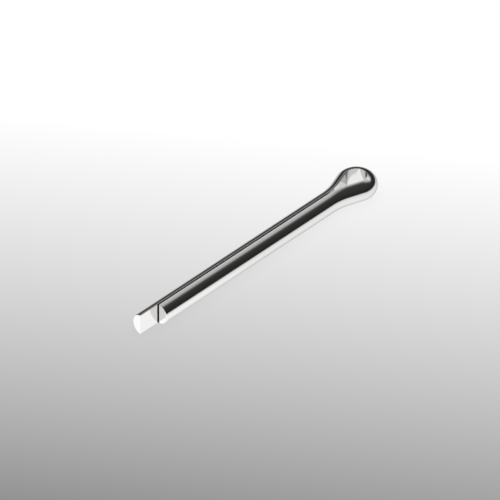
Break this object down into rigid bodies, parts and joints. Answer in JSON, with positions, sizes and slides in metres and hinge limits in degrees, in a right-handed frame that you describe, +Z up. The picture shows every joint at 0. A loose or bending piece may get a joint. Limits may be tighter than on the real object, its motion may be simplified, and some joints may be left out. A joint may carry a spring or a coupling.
{
  "type": "split cotter pin",
  "caption": "Split cotter pin folded from half-round steel wire: a round eye, a close straight shank and legs of unequal length.",
  "frame": {"origin": "on the shank's axis, where the round shank ends and the flare of the throat begins", "axes": "+X along the shank from the tips to the eye, +Y to the side of the long leg, +Z up, square to the plane in which the wire is folded; the pin lies flat"},
  "size_m": [0.052, 0.0066, 0.0036],
  "materials": {
    "wire": "polished"
  },
  "bodies": {
    "root": {"cotter_pin": "wire"}
  },
  "joints": []
}
